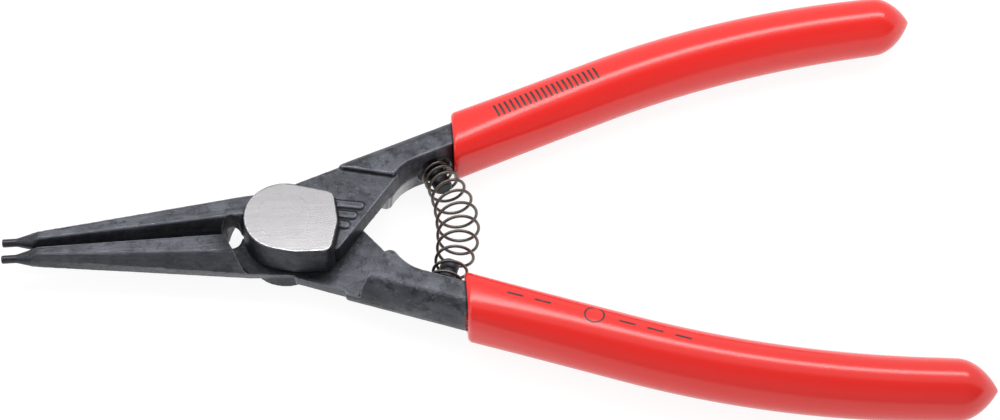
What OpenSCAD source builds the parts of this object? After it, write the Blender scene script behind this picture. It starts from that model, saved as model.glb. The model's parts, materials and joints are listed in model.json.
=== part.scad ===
// Circlip pliers for outer retaining rings: two equal lapped limbs on one flush rivet.
// A barrel spring on two pegs holds the jaws shut, and the handles are dipped in soft plastic.
// Lengths are in millimetres. +X runs from the tips to the grips, +Y to the upper grip.
// The origin lies on the rivet axis in the lower boss face, and +Z leaves the upper boss face.

/* [Joint] */
// Thickness over the two boss faces
joint_thickness = 12.9; // [12.4:0.1:14]
// Radius of the round side of the boss face
boss_radius = 7.45; // [7.2:0.05:7.6]
// Reach of the boss face toward the handles
boss_reach = 10; // [9.6:0.1:10.4]
// How far the boss wall spreads at its foot
boss_flare = 0.4; // [0.2:0.05:0.5]
// Height of the pad beside the boss above the lap plane
pad_height = 4.1; // [3.6:0.1:4.5]
// Gap between the two lap faces
lap_gap = 0.1; // [0.06:0.02:0.2]
// Radius of the cut that frees the jaw ends from the other boss
jaw_cut_radius = 11; // [10:0.1:11.4]
// Radius of the cut that frees the shoulders from the other limb
shoulder_radius = 19.7; // [19:0.1:20.4]

/* [Rivet] */
// Radius of the rivet shank
rivet_radius = 3.5; // [3:0.1:4]
// Radius of the countersunk rivet heads at the boss faces
rivet_head_radius = 5; // [4.6:0.1:5.6]
// Depth of the countersunk rivet heads
rivet_head_depth = 1.6; // [1.2:0.1:2]
// Radial running gap of the rivet in the upper limb
rivet_gap = 0.04; // [0.02:0.01:0.08]

/* [Jaws and tips] */
// Distance from the rivet axis to the ends of the tip pins
tip_reach = 52.7; // [52:0.1:56]
// Distance between the axes of the two tip pins
tip_spacing = 3.6; // [3.5:0.1:4]
// Diameter of the tip pins
tip_diameter = 1.6; // [1.4:0.1:1.8]
// Length of the plain tip pins
tip_length = 2.7; // [2.2:0.1:3.2]
// Length of the cones behind the tip pins
cone_length = 2.9; // [2.4:0.1:3.4]
// Radius of the cones at the jaw ends
cone_radius = 1.6; // [1.4:0.05:1.65]
// Gap between the shut jaws
jaw_gap = 0.12; // [0.08:0.02:0.3]
// Radius of the relief hole between the jaws and the bosses
relief_radius = 1.75; // [1.4:0.05:1.8]

/* [Handles] */
// Lean of each arm away from the long axis in degrees
arm_angle = 21; // [20:0.5:23]
// Lean of each handle end in degrees
end_angle = 5.5; // [3:0.5:8]
// Radius of the bend between the two leans
bend_radius = 197; // [180:1:215]
// Distance along X from the rivet to the grip rims
rim_x = 32.7; // [32.3:0.1:33.5]
// Distance across Y from the rivet to the middle of each grip rim
rim_y = 18.1; // [17.8:0.1:18.6]
// Straight length of each grip behind its rim
straight_length = 31; // [28:0.5:34]
// Length of each grip along its middle line
grip_length = 98; // [94:0.2:102]
// Width of the grips in the plane of the tool
grip_width = 11.9; // [11.4:0.1:12.2]
// Thickness of the grips across the plane of the tool
grip_thickness = 12.8; // [12.5:0.1:12.9]
// Thickness of the bare arms
arm_thickness = 10; // [9.4:0.1:10.4]
// Clearance of the coating on the tang inside it
coat_gap = 0.05; // [0.02:0.01:0.1]

/* [Spring] */
// Distance along X from the rivet to the middle of the spring
spring_x = 32.4; // [31.7:0.1:33]
// How far the middle of the spring bulges out of its arc
spring_bow = 1.1; // [0.6:0.1:1.3]
// Wire thickness of the spring
wire = 0.6; // [0.5:0.05:0.65]
// Mean coil radius in the middle of the spring
coil_radius = 3.9; // [3.6:0.05:4.1]
// Mean coil radius of the closed coils on the pegs
end_coil_radius = 2.7; // [2.5:0.05:2.8]
// Number of coils
coils = 11.5; // [10.5:0.5:12.5]
// Number of coils at the upper end over which the pitch opens
upper_ramp = 4.5; // [3.5:0.5:5]
// Number of coils at the lower end over which the pitch opens
lower_ramp = 2.5; // [2:0.5:3.5]
// Lean of the middle coils toward the upper arm in degrees
coil_lean = 16; // [10:1:18]
// Radius of the pegs inside the spring ends
peg_radius = 1.75; // [1.6:0.05:1.9]
// Length of the pegs above their seats
peg_length = 5.4; // [4.8:0.1:5.5]
// Shift of each peg from the middle plane toward its lap face side
peg_shift = 0.7; // [0.3:0.1:1]

/* [Hidden] */
$fn = 64;
half_joint = joint_thickness / 2;
half_arm = arm_thickness / 2;
half_lap = lap_gap / 2;
press_gap = 0.01;
far = 60;

// Arm section, measured across the arm from its middle line
crease_out = 1.0;
ridge_out = 3.9;
edge_in = -2.45;
draft_in = 0.9;
hump_start = -9.3;
hump_run = 6.1;
hump_rate = 0.066;
hump_flat = 7;
hump_fall = 0.8;
arm_start = -22.4;
tang_end = grip_length - 16;
tang_taper = 0.4;

// Jaw section at the joint, and how it shrinks toward the tip per millimetre
jaw_x = -15.6;
jaw_half = 4.42;
jaw_half_rate = 0.066;
jaw_in = 1.85;
jaw_in_rate = 0.031;
jaw_out = 5.3;
jaw_out_rate = 0.09;
jaw_ridge = 7.1;
jaw_ridge_rate = 0.145;
jaw_root_x = -7;
collar = 0.12;
relief_oval = 1.22;
cone_end_x = -tip_reach + tip_length + cone_length;
jaw_end_x = cone_end_x + 1.3;

// Handle middle line: straight, bent, straight
arm_dir = [cos(arm_angle), sin(arm_angle)];
arm_normal = [-sin(arm_angle), cos(arm_angle)];
rim_point = [rim_x, rim_y];
bend_point = rim_point + straight_length * arm_dir;
bend_length = bend_radius * (arm_angle - end_angle) * PI / 180;
bend_end = straight_length + bend_length;
function bend_at(a) = bend_point + bend_radius * [sin(arm_angle) - sin(a), cos(a) - cos(arm_angle)];
function line_angle(s) =
    s <= straight_length ? arm_angle :
    s >= bend_end ? end_angle :
    arm_angle - (s - straight_length) / bend_radius * 180 / PI;
function line_point(s) =
    s <= straight_length ? rim_point + s * arm_dir :
    s >= bend_end ? bend_at(end_angle) + (s - bend_end) * [cos(end_angle), sin(end_angle)] :
    bend_at(line_angle(s));
function on_line(s, v, z) =
    let (p = line_point(s), a = line_angle(s))
    [p.x - v * sin(a), p.y + v * cos(a), z];

// The dip line is square to the long axis, so points near the rim slide along the arm
rim_fade = 14;
function dipped(s, v) = s + v * tan(arm_angle) * pow(1 - clamp(s / rim_fade, 0, 1), 2);

// Spring seat and the arc of the spring axis, square to both arm walls
seat_depth = 0.8;
seat_radius = end_coil_radius + wire / 2 + 0.4;
wall_offset = edge_in - draft_in;
wall_point = rim_point + wall_offset * arm_normal;
arc_x = wall_point.x - wall_point.y / tan(arm_angle);
arc_radius = spring_x - spring_bow - arc_x;
seat_point = [arc_x, 0] + arc_radius * arm_dir + seat_depth * arm_normal;
peg_root = 3;
peg_root_radius = 1.5;
peg_chamfer = 0.4;
seat_play = 0.06;
spring_end = arm_angle + (seat_depth - wire / 2 - seat_play) / arc_radius * 180 / PI;
spring_arc = 2 * spring_end * PI / 180 * arc_radius;
closed_pitch = wire + 0.2;
ramp_mean = (upper_ramp + lower_ramp) / 2;
open_pitch = closed_pitch + (spring_arc - coils * closed_pitch) / (coils - ramp_mean);
coil_turn = 36;
turn_steps = 20;
wire_sides = 6;

// Shared helpers for lofted bodies
function clamp(v, lo, hi) = min(max(v, lo), hi);
function flat(rings) = [for (r = rings) each r];
function skin(m, n, o = 0) = [
    for (j = [0 : m - 2], i = [0 : n - 1])
        let (a = o + j * n + i, b = o + j * n + (i + 1) % n)
        each [[a, b, b + n], [a, b + n, a + n]]
];
function middle(ring) = [for (p = ring) 1] * ring / len(ring);
function fan(o, n, c) = [for (i = [0 : n - 1]) [o + i, c, o + (i + 1) % n]];
function flipped(faces) = [for (f = faces) [f[0], f[2], f[1]]];

// A closed loft through rings that all have the same number of points
module loft(rings) {
    m = len(rings);
    n = len(rings[0]);
    points = concat(flat(rings), [middle(rings[0]), middle(rings[m - 1])]);
    low = fan(0, n, m * n);
    high = flipped(fan((m - 1) * n, n, m * n + 1));
    polyhedron(points, flipped(concat(skin(m, n), low, high)));
}

// Outline around a set of circles, one point for each direction
function widest(cs, d, i = 0, best = 0) =
    i >= len(cs) ? best :
    widest(cs, d, i + 1, reach(cs[i], d) > reach(cs[best], d) ? i : best);
function reach(c, d) = c[0] * d.x + c[1] * d.y + c[2];
function around(cs, spread, step) = [
    for (a = [0 : step : 359])
        let (d = [cos(a), sin(a)], c = cs[widest(cs, d)])
        [c[0] + (c[2] + spread) * d.x, c[1] + (c[2] + spread) * d.y]
];

boss_circles = [
    [0, 0, boss_radius],
    [boss_reach - 7.25, -1, 7.25],
    [boss_reach - 2.05, 3.65, 1.6],
    [boss_reach - 3.1, -6.45, 1.9]
];

// Pad outline at the lap plane: a straight inner edge, drawn in on its outer side at the top
pad_edge = [[10.1, -6.2], [21.9, 9.35]];
function pad_outline(inset) =
    let (d = [-0.1 * inset, 0.08 * inset])
    [
        (pad_edge[0] + pad_edge[1]) / 2 + d, pad_edge[1] + d, [22, 13],
        [11, 13.4 - inset], [1.5, 9.7 - inset], [0, 5], [-3, -3], [3, -5.5], [8, -7.3], pad_edge[0] + d
    ];

module lift() {
    translate([0, 0, half_joint])
        children();
}

// Arm section: flat sides, a rounded outer back and a parting ridge on the inner wall
function arm_in(s) =
    let (d = hump_start - s)
    edge_in - hump_rate * pow(clamp(d, 0, hump_run), 2) + hump_fall * max(d - hump_flat, 0);
function tang_scale(s) = 1 - tang_taper * clamp((s - 4) / (tang_end - 4), 0, 1);
function arm_section(s, grow) =
    let (k = tang_scale(s), h = half_arm * k + grow, e = arm_in(s) * k - grow)
    let (c = crease_out * k, w = (ridge_out - crease_out) * k + grow, r = e - draft_in * k)
    concat(
        [for (a = [-90 : 15 : 90]) [c + w * cos(a), h * sin(a)]],
        [for (i = [1 : 3]) [c + (e - c) * i / 3, h]],
        [for (i = [1 : 3]) [e + (r - e) * i / 3, h * (1 - i / 3)]],
        [for (i = [1 : 3]) [r + (e - r) * i / 3, -h * i / 3]],
        [for (i = [1 : 2]) [e + (c - e) * i / 3, -h]]
    );
function arm_ring(s, grow = 0) = [for (p = arm_section(s, grow)) on_line(s, p.x, p.y)];
tang_steps = [8, 20, straight_length, 44, 58, 72, tang_end];
hump_steps = [hump_start - hump_flat, hump_start - hump_run, -13.8, -12.3, -10.8, hump_start];
arm_steps = concat([arm_start, -19, -17.3], hump_steps, [-4, 0], tang_steps);

module arm() {
    loft([for (s = arm_steps) arm_ring(s)]);
}

// Jaw section: flat sides, a parting ridge inside and a bevelled back
function jaw_corners(x) =
    let (d = x - jaw_x, h = jaw_half + d * jaw_half_rate)
    let (a = jaw_in + d * jaw_in_rate, b = jaw_out + d * jaw_out_rate)
    let (r = jaw_ridge + d * jaw_ridge_rate, g = jaw_gap / 2)
    [[g, 0], [a, -h], [b, -h], [r, 0], [b, h], [a, h]];
function jaw_ring(x) =
    let (c = jaw_corners(x))
    [for (i = [0 : 5], k = [0 : 3])
        let (p = c[i] + (c[(i + 1) % 6] - c[i]) * k / 4)
        [x, p.x, p.y]];
function nose_ring(x) =
    let (r = cone_radius + collar)
    [for (i = [0 : 23])
        let (a = 180 + 15 * i)
        [x, tip_spacing / 2 + r * cos(a), r * sin(a)]];

// The jaw's back runs on behind the boss and ends inside the pad
tail_x = 4.5;
tail_corners = [[2, 0], [3, 0.4 - pad_height], [7.6, 0.4 - pad_height], [9.6, 0],
                [7.6, pad_height - 0.4], [3, pad_height - 0.4]];
tail_ring = [
    for (i = [0 : 5], k = [0 : 3])
        let (p = tail_corners[i] + (tail_corners[(i + 1) % 6] - tail_corners[i]) * k / 4)
        [tail_x, p.x, p.y]
];

module jaw() {
    loft([nose_ring(cone_end_x), jaw_ring(jaw_end_x), jaw_ring(jaw_root_x), tail_ring]);
}

module tip() {
    translate([-tip_reach, tip_spacing / 2, 0])
        rotate([0, 90, 0]) {
            cylinder(d = tip_diameter, h = tip_length + 0.2);
            translate([0, 0, tip_length])
                cylinder(r1 = tip_diameter / 2, r2 = cone_radius, h = cone_length);
            translate([0, 0, tip_length + cone_length - 0.01])
                cylinder(r = cone_radius, h = 0.5);
        }
}

// Joint half: the pad from the lap plane, and the boss with its ground face
module pad() {
    low = pad_outline(0);
    high = pad_outline(1.2);
    loft([[for (p = low) [p.x, p.y, half_lap]], [for (p = high) [p.x, p.y, pad_height]]]);
}

module boss() {
    low = around(boss_circles, boss_flare, 6);
    high = around(boss_circles, 0, 6);
    loft([[for (p = low) [p.x, p.y, half_lap]], [for (p = high) [p.x, p.y, half_joint]]]);
}

// Three raised ribs beside the boss, each shorter than the one above it
rib_width = 1.4;
rib_rise = 0.45;
rib_lean = -10;
rib_step = 2.3;
module ribs() {
    for (i = [0 : 2])
        translate([8.6, 3.75 - rib_step * i, 1])
            rotate([0, 0, rib_lean])
                linear_extrude(height = pad_height - 1 + rib_rise)
                    polygon(around([[0, 0, rib_width / 2], [5.75 - 1.45 * i, 0, rib_width / 2]], 0, 15));
}

// Space left of the step line, where the arm drops to the pad
step_line = [[10.7, 11.6], [21.7, 8.9]];
module step_cut() {
    a = step_line[0];
    b = step_line[1];
    d = (b - a) / norm(b - a);
    n = [d.y, -d.x];
    corners = [a - 12 * d, b + 8 * d, b + 8 * d + 30 * n, a - 12 * d + 30 * n];
    translate([0, 0, half_lap + 1])
        linear_extrude(height = far)
            polygon(corners);
}

module below_lap(radius) {
    translate([0, 0, half_lap - far])
        cylinder(r = radius, h = far, $fn = 96);
}

module spring_seat() {
    translate([seat_point.x, seat_point.y, -peg_shift])
        rotate([0, 0, arm_angle])
            rotate([90, 0, 0])
                children();
}

module rivet_bore(gap) {
    translate([0, 0, -1])
        cylinder(r = rivet_radius + gap, h = half_joint + 2);
    translate([0, 0, half_joint - rivet_head_depth])
        cylinder(r1 = rivet_radius + gap, r2 = rivet_head_radius + gap, h = rivet_head_depth);
    translate([0, 0, half_joint])
        cylinder(r = rivet_head_radius + gap, h = 1);
}

module limb(gap) {
    difference() {
        union() {
            difference() {
                arm();
                below_lap(shoulder_radius);
                step_cut();
            }
            difference() {
                jaw();
                below_lap(jaw_cut_radius);
            }
            tip();
            pad();
            boss();
            ribs();
        }
        rivet_bore(gap);
        translate([-10, 0, -far / 2])
            scale([1, relief_oval, 1])
                cylinder(r = relief_radius, h = far, $fn = 40);
        spring_seat()
            cylinder(r = seat_radius, h = 6, $fn = 48);
        spring_seat()
            translate([0, 0, -peg_root - 0.1])
                cylinder(r = peg_root_radius + press_gap, h = peg_root + 0.2, $fn = 48);
    }
}

module peg() {
    spring_seat() {
        translate([0, 0, -peg_root])
            cylinder(r = peg_root_radius, h = peg_root, $fn = 48);
        cylinder(r = peg_radius, h = peg_length - peg_chamfer, $fn = 48);
        translate([0, 0, peg_length - peg_chamfer])
            cylinder(r1 = peg_radius, r2 = peg_radius - peg_chamfer, h = peg_chamfer, $fn = 48);
    }
}

// Grip: a dipped sock with a rounded rim, a full middle and a drawn-out end
end_run = 5.8;
rim_round = 0.9;
grip_fall = 0.075;
section_power = 2.2;
function grip_full(s) = 1 - grip_fall * pow(2 * s / grip_length - 1, 2);
function rim_full(s) = 1 - 0.07 * pow(1 - clamp(s / rim_round, 0, 1), 2);
function end_full(s) =
    let (d = clamp((grip_length - s) / end_run, 0.0002, 1))
    pow(1 - pow(1 - d, 2), 0.66);
function grip_scale(s) = grip_full(s) * rim_full(s) * end_full(s);
function signed_pow(v, p) = sign(v) * pow(abs(v), p);
function grip_ring(s) =
    let (k = grip_scale(s))
    [for (i = [0 : 23])
        let (a = 15 * i - 90)
        let (v = grip_width / 2 * k * signed_pow(cos(a), 2 / section_power))
        on_line(dipped(s, v), v, grip_thickness / 2 * k * signed_pow(sin(a), 2 / section_power))];
rim_steps = [0, 0.25, 0.55, rim_round];
end_start = grip_length - end_run;
body_steps = [for (i = [1 : 11]) rim_round + (end_start - rim_round) * i / 11];
end_steps = [for (i = [1 : 8]) grip_length - end_run * pow(1 - i / 8, 1.6)];
outer_steps = concat(rim_steps, body_steps, end_steps);

module grip() {
    n = 24;
    m = len(outer_steps);
    q = len(tang_steps) + 1;
    outer = [for (s = outer_steps) grip_ring(s)];
    inner = concat(
        [[for (p = arm_section(0, coat_gap)) on_line(dipped(0, p.x), p.x, p.y)]],
        [for (s = tang_steps) arm_ring(s == tang_end ? s + coat_gap : s, coat_gap)]
    );
    k = m * n;
    rim = [for (i = [0 : n - 1]) let (j = (i + 1) % n) each [[j, i, k + i], [j, k + i, k + j]]];
    c = k + q * n;
    end = flipped(fan(k - n, n, c));
    bottom = fan(c - n, n, c + 1);
    faces = concat(skin(m, n), end, flipped(skin(q, n, k)), bottom, rim);
    points = concat(flat(outer), flat(inner), [middle(outer[m - 1]), middle(inner[q - 1])]);
    polyhedron(points, flipped(faces));
}

// Barrel spring: a right-hand coil along the arc between the two pegs, leaning in the middle
function ramped(t, ramp) = (open_pitch - closed_pitch) * t * t / (2 * ramp) + closed_pitch * t;
function travel(t) =
    t < lower_ramp ? ramped(t, lower_ramp) :
    t > coils - upper_ramp ? spring_arc - ramped(coils - t, upper_ramp) :
    ramped(lower_ramp, lower_ramp) + (t - lower_ramp) * open_pitch;
function belly(t) = pow(max(sin(180 * travel(t) / spring_arc), 0), 1.3);
function coil_at(t) = end_coil_radius + (coil_radius - end_coil_radius) * belly(t);
function arc_at(t) = (travel(t) / spring_arc * 2 - 1) * spring_end;
function wire_point(t, r) =
    let (f = arc_at(t), w = coil_turn - 360 * t, u = f / spring_end, c = max(cos(90 * u), 0))
    let (tilt = coil_lean * sqrt(c), in = r * cos(w) + spring_bow * c, up = r * sin(w))
    let (p = [arc_x + (arc_radius + in) * cos(f), (arc_radius + in) * sin(f), -peg_shift * sin(90 * u)])
    p + up * [-sin(f) * sin(tilt), cos(f) * sin(tilt), cos(tilt)];
function wire_ring(t) =
    let (r = coil_at(t), d = 0.01, c = wire_point(t, r))
    let (g = wire_point(t + d, coil_at(t + d)) - wire_point(t - d, coil_at(t - d)))
    let (e = wire_point(t, r + 1) - c, h = cross(g, e) / norm(cross(g, e)))
    [for (i = [0 : wire_sides - 1])
        let (a = 360 * i / wire_sides)
        c + wire / 2 * (cos(a) * e + sin(a) * h)];

module return_spring() {
    color([0.36, 0.33, 0.31])
        lift()
            loft([for (i = [0 : coils * turn_steps]) wire_ring(i / turn_steps)]);
}

module upper_limb() {
    color([0.27, 0.28, 0.31])
        lift()
            limb(rivet_gap);
}

module lower_limb() {
    color([0.3, 0.31, 0.34])
        lift()
            rotate([180, 0, 0])
                limb(press_gap);
}

module pivot_rivet() {
    shank = joint_thickness - 2 * rivet_head_depth;
    color([0.72, 0.73, 0.74]) {
        cylinder(r1 = rivet_head_radius, r2 = rivet_radius, h = rivet_head_depth);
        translate([0, 0, rivet_head_depth])
            cylinder(r = rivet_radius, h = shank);
        translate([0, 0, rivet_head_depth + shank])
            cylinder(r1 = rivet_radius, r2 = rivet_head_radius, h = rivet_head_depth);
    }
}

module upper_spring_peg() {
    color([0.2, 0.2, 0.22])
        lift()
            peg();
}

module lower_spring_peg() {
    color([0.2, 0.2, 0.22])
        lift()
            rotate([180, 0, 0])
                peg();
}

module upper_grip() {
    color([0.85, 0.12, 0.12])
        lift()
            grip();
}

module lower_grip() {
    color([0.85, 0.12, 0.12])
        lift()
            rotate([180, 0, 0])
                grip();
}

upper_limb();
lower_limb();
pivot_rivet();
return_spring();
upper_spring_peg();
lower_spring_peg();
upper_grip();
lower_grip();
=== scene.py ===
"""Circlip pliers: forged dark limbs, a ground boss face, a barrel spring and red dipped grips."""

import json
import math

import bmesh
import bpy
import numpy as np
from bpy.props import FloatProperty, FloatVectorProperty, IntProperty, PointerProperty
from mathutils import Euler, Matrix, Vector, noise


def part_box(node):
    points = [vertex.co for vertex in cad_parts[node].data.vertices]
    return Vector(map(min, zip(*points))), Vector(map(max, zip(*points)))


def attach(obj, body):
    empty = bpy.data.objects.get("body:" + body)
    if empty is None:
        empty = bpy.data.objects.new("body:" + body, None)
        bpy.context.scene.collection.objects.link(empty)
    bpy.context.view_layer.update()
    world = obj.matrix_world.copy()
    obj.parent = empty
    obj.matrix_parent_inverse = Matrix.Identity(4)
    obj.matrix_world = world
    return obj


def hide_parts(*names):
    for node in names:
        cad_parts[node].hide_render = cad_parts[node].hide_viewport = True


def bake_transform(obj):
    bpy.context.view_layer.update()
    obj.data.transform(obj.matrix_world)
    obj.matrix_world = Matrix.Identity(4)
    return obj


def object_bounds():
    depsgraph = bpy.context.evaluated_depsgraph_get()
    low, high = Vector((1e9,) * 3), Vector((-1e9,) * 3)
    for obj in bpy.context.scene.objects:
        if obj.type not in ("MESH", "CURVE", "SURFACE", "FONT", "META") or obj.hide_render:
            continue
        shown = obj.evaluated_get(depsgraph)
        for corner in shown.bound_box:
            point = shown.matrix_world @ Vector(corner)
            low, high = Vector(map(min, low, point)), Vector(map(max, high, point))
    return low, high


bl_info = {
    "name": "Circlip pliers",
    "version": (1, 0, 0),
    "blender": (4, 5, 0),
    "location": "3D View > Sidebar > Pliers",
    "description": "Dresses a pair of forged circlip pliers with dipped grips",
    "category": "Object",
}

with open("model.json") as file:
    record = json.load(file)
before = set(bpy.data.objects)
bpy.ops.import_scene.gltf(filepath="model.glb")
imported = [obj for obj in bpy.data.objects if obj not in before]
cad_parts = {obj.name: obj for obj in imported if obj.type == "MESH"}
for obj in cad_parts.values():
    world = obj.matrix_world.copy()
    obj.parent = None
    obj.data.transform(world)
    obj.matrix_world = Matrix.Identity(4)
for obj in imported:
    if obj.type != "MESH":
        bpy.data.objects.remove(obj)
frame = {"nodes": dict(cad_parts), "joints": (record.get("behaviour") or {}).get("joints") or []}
CAD_BOX = [list(corner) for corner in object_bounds()]
MM = 0.001
PIVOT = Vector(frame["joints"][0]["pos_m"])
MID_Z = PIVOT.z
FACE_Z = CAD_BOX[1][2]
# Height of each boss face from the middle plane
FACE_UP = FACE_Z - MID_Z
RIM_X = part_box("upper_grip")[0].x
UPPER = "upper_half"
LOWER = "lower_half"
# A lower piece is its upper twin turned over about the long axis
SIDES = {"upper": (UPPER, 1.0), "lower": (LOWER, -1.0)}


# Settings that a user would change

class LimbSettings(bpy.types.PropertyGroup):
    """Forged limbs, pegs and rivet."""
    voxel: FloatProperty(
        name="Forging voxel", description="Grid step of the forged surface",
        default=0.2 * MM, unit="LENGTH", precision=5)
    passes: IntProperty(
        name="Edge passes", description="Smoothing passes that round the forged edges", default=9)
    scale_depth: FloatProperty(
        name="Scale depth", description="Depth of the uneven forged skin",
        default=0.025 * MM, unit="LENGTH", precision=6)
    dark: FloatVectorProperty(
        name="Dark finish", description="Colour of the phosphated steel",
        default=(0.085, 0.088, 0.103), subtype="COLOR", size=3)
    bare: FloatVectorProperty(
        name="Bare steel", description="Colour of ground and trimmed steel",
        default=(0.53, 0.52, 0.53), subtype="COLOR", size=3)


class GripSettings(bpy.types.PropertyGroup):
    """Dipped grips and their print."""
    arm_angle: FloatProperty(
        name="Arm lean", description="Lean of each arm away from the long axis",
        default=math.radians(21.0), subtype="ANGLE")
    end_angle: FloatProperty(
        name="End lean", description="Lean of each handle end",
        default=math.radians(5.5), subtype="ANGLE")
    bend_radius: FloatProperty(
        name="Bend radius", description="Radius between the two leans",
        default=197 * MM, unit="LENGTH")
    rim_y: FloatProperty(
        name="Rim middle", description="Distance of the rim's middle from the long axis",
        default=18.1 * MM, unit="LENGTH")
    straight: FloatProperty(
        name="Straight length", description="Straight run behind the rim",
        default=31 * MM, unit="LENGTH")
    length: FloatProperty(
        name="Length", description="Length along the middle line", default=98 * MM, unit="LENGTH")
    width: FloatProperty(
        name="Width", description="Width in the plane of the tool",
        default=11.9 * MM, unit="LENGTH")
    thickness: FloatProperty(
        name="Thickness", description="Thickness across the plane of the tool",
        default=12.8 * MM, unit="LENGTH")
    colour: FloatVectorProperty(
        name="Red", description="Colour of the soft plastic",
        default=(0.86, 0.019, 0.014), subtype="COLOR", size=3)
    ink: FloatVectorProperty(
        name="Ink", description="Colour of the printed marks",
        default=(0.012, 0.006, 0.006), subtype="COLOR", size=3)


class SpringSettings(bpy.types.PropertyGroup):
    """Barrel spring between the handles."""
    middle_x: FloatProperty(
        name="Middle", description="Distance from the rivet to the middle of the spring",
        default=32.4 * MM, unit="LENGTH")
    bow: FloatProperty(
        name="Bow", description="Bulge of the middle out of its arc",
        default=1.1 * MM, unit="LENGTH")
    wire: FloatProperty(
        name="Wire", description="Wire thickness", default=0.6 * MM, unit="LENGTH")
    coil_radius: FloatProperty(
        name="Coil radius", description="Mean radius of the middle coils",
        default=3.9 * MM, unit="LENGTH")
    end_radius: FloatProperty(
        name="End radius", description="Mean radius of the end coils",
        default=2.7 * MM, unit="LENGTH")
    coils: FloatProperty(name="Coils", description="Number of coils", default=11.5)
    upper_ramp: FloatProperty(
        name="Upper ramp", description="Coils at the upper end over which the pitch opens",
        default=4.5)
    lower_ramp: FloatProperty(
        name="Lower ramp", description="Coils at the lower end over which the pitch opens",
        default=2.5)
    coil_lean: FloatProperty(
        name="Coil lean", description="Lean of the middle coils toward the upper arm",
        default=math.radians(16.0), subtype="ANGLE")
    colour: FloatVectorProperty(
        name="Wire colour", description="Colour of the spring wire",
        default=(0.17, 0.148, 0.132), subtype="COLOR", size=3)


class StageSettings(bpy.types.PropertyGroup):
    """Camera place."""
    tilt: FloatProperty(
        name="Tilt", description="Camera lean from straight above",
        default=math.radians(33.992), subtype="ANGLE")
    yaw: FloatProperty(
        name="Yaw", description="Camera turn about its upright",
        default=math.radians(1.158), subtype="ANGLE")
    roll: FloatProperty(
        name="Roll", description="Turn of the tool in the frame",
        default=math.radians(4.799), subtype="ANGLE")
    distance: FloatProperty(
        name="Distance", description="Camera distance from the rivet",
        default=398.17 * MM, unit="LENGTH")
    pivot_u: FloatProperty(
        name="Rivet across", description="Image column of the rivet", default=285.68)
    pivot_v: FloatProperty(
        name="Rivet down", description="Image row of the rivet", default=235.02)
    focal: FloatProperty(
        name="Focal length", description="Focal length in pixels", default=2120.0)


class PliersSettings(bpy.types.PropertyGroup):
    """All settings of the pliers."""
    limb: PointerProperty(type=LimbSettings)
    grip: PointerProperty(type=GripSettings)
    spring: PointerProperty(type=SpringSettings)
    stage: PointerProperty(type=StageSettings)


def settings():
    return bpy.context.scene.pliers


# Shader building blocks

# The noise rarely leaves this range, and its mean lies in the middle of it
NOISE_RANGE = (0.3, 0.7)
NOISE_MEAN = 0.5


def feed(tree, node, values):
    """Gives each named input a constant or another node's output."""
    for key, value in values.items():
        if isinstance(value, bpy.types.NodeSocket):
            tree.links.new(value, node.inputs[key])
        else:
            node.inputs[key].default_value = value


def put(tree, kind, props=None, ins=None):
    """Adds a node with its properties and inputs."""
    made = tree.nodes.new(kind)
    for key, value in (props or {}).items():
        setattr(made, key, value)
    feed(tree, made, ins or {})
    return made


def math_node(tree, operation, a, b=0.0):
    return put(tree, "ShaderNodeMath", {"operation": operation}, {0: a, 1: b}).outputs[0]


def times(tree, a, b):
    return math_node(tree, "MULTIPLY", a, b)


def vector_math(tree, operation, output, *vectors):
    made = put(tree, "ShaderNodeVectorMath", {"operation": operation}, dict(enumerate(vectors)))
    return made.outputs[output]


def ramp_value(tree, value, low, high, to_low=0.0, to_high=1.0):
    """Maps low to high onto a smooth step between two values."""
    return put(tree, "ShaderNodeMapRange", {"interpolation_type": "SMOOTHSTEP"}, {
        "Value": value, "From Min": low, "From Max": high, "To Min": to_low, "To Max": to_high,
    }).outputs["Result"]


def noise_ramp(tree, value, to_low=0.0, to_high=1.0):
    """Maps the range of the noise onto a smooth step between two values."""
    return ramp_value(tree, value, *NOISE_RANGE, to_low, to_high)


def mix_colour(tree, factor, a, b):
    """Mixes two colours, each a plain colour or another node's output."""
    a, b = (c if isinstance(c, bpy.types.NodeSocket) else (*c, 1.0) for c in (a, b))
    return put(tree, "ShaderNodeMix", {"data_type": "RGBA"}, {0: factor, 6: a, 7: b}).outputs[2]


def mix_shades(tree, factor, tone, shades):
    """Mixes two shades of one colour, given as shares of it."""
    low, high = shades
    return mix_colour(tree, factor, tone * low, tone * high)


def mix_value(tree, factor, a, b):
    return put(tree, "ShaderNodeMix", {"data_type": "FLOAT"}, {0: factor, 2: a, 3: b}).outputs[0]


def object_place(tree):
    return put(tree, "ShaderNodeTexCoord").outputs["Object"]


def mesh_mask(tree, name):
    return put(tree, "ShaderNodeAttribute", {"attribute_name": name}).outputs["Fac"]


def noise_value(tree, spot, scale, detail, roughness=0.5):
    return put(tree, "ShaderNodeTexNoise", None, {
        "Vector": spot, "Scale": scale, "Detail": detail, "Roughness": roughness}).outputs[0]


def bump(tree, height, strength, distance):
    return put(tree, "ShaderNodeBump", None, {
        "Height": height, "Strength": strength, "Distance": distance}).outputs[0]


def shader_group(name, inputs, outputs):
    """A new shader group with float inputs and outputs."""
    tree = bpy.data.node_groups.new(name, "ShaderNodeTree")
    for label, default in inputs.items():
        socket = tree.interface.new_socket(label, in_out="INPUT", socket_type="NodeSocketFloat")
        socket.default_value = default
    for label in outputs:
        tree.interface.new_socket(label, in_out="OUTPUT", socket_type="NodeSocketFloat")
    return tree, tree.nodes.new("NodeGroupInput").outputs, tree.nodes.new("NodeGroupOutput")


# The clouds' scale as a share of the grain's, and the grain heights that show as specks
CLOUD_SCALE = 0.12
SPECK_RANGE = (0.56, 0.72)


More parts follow.
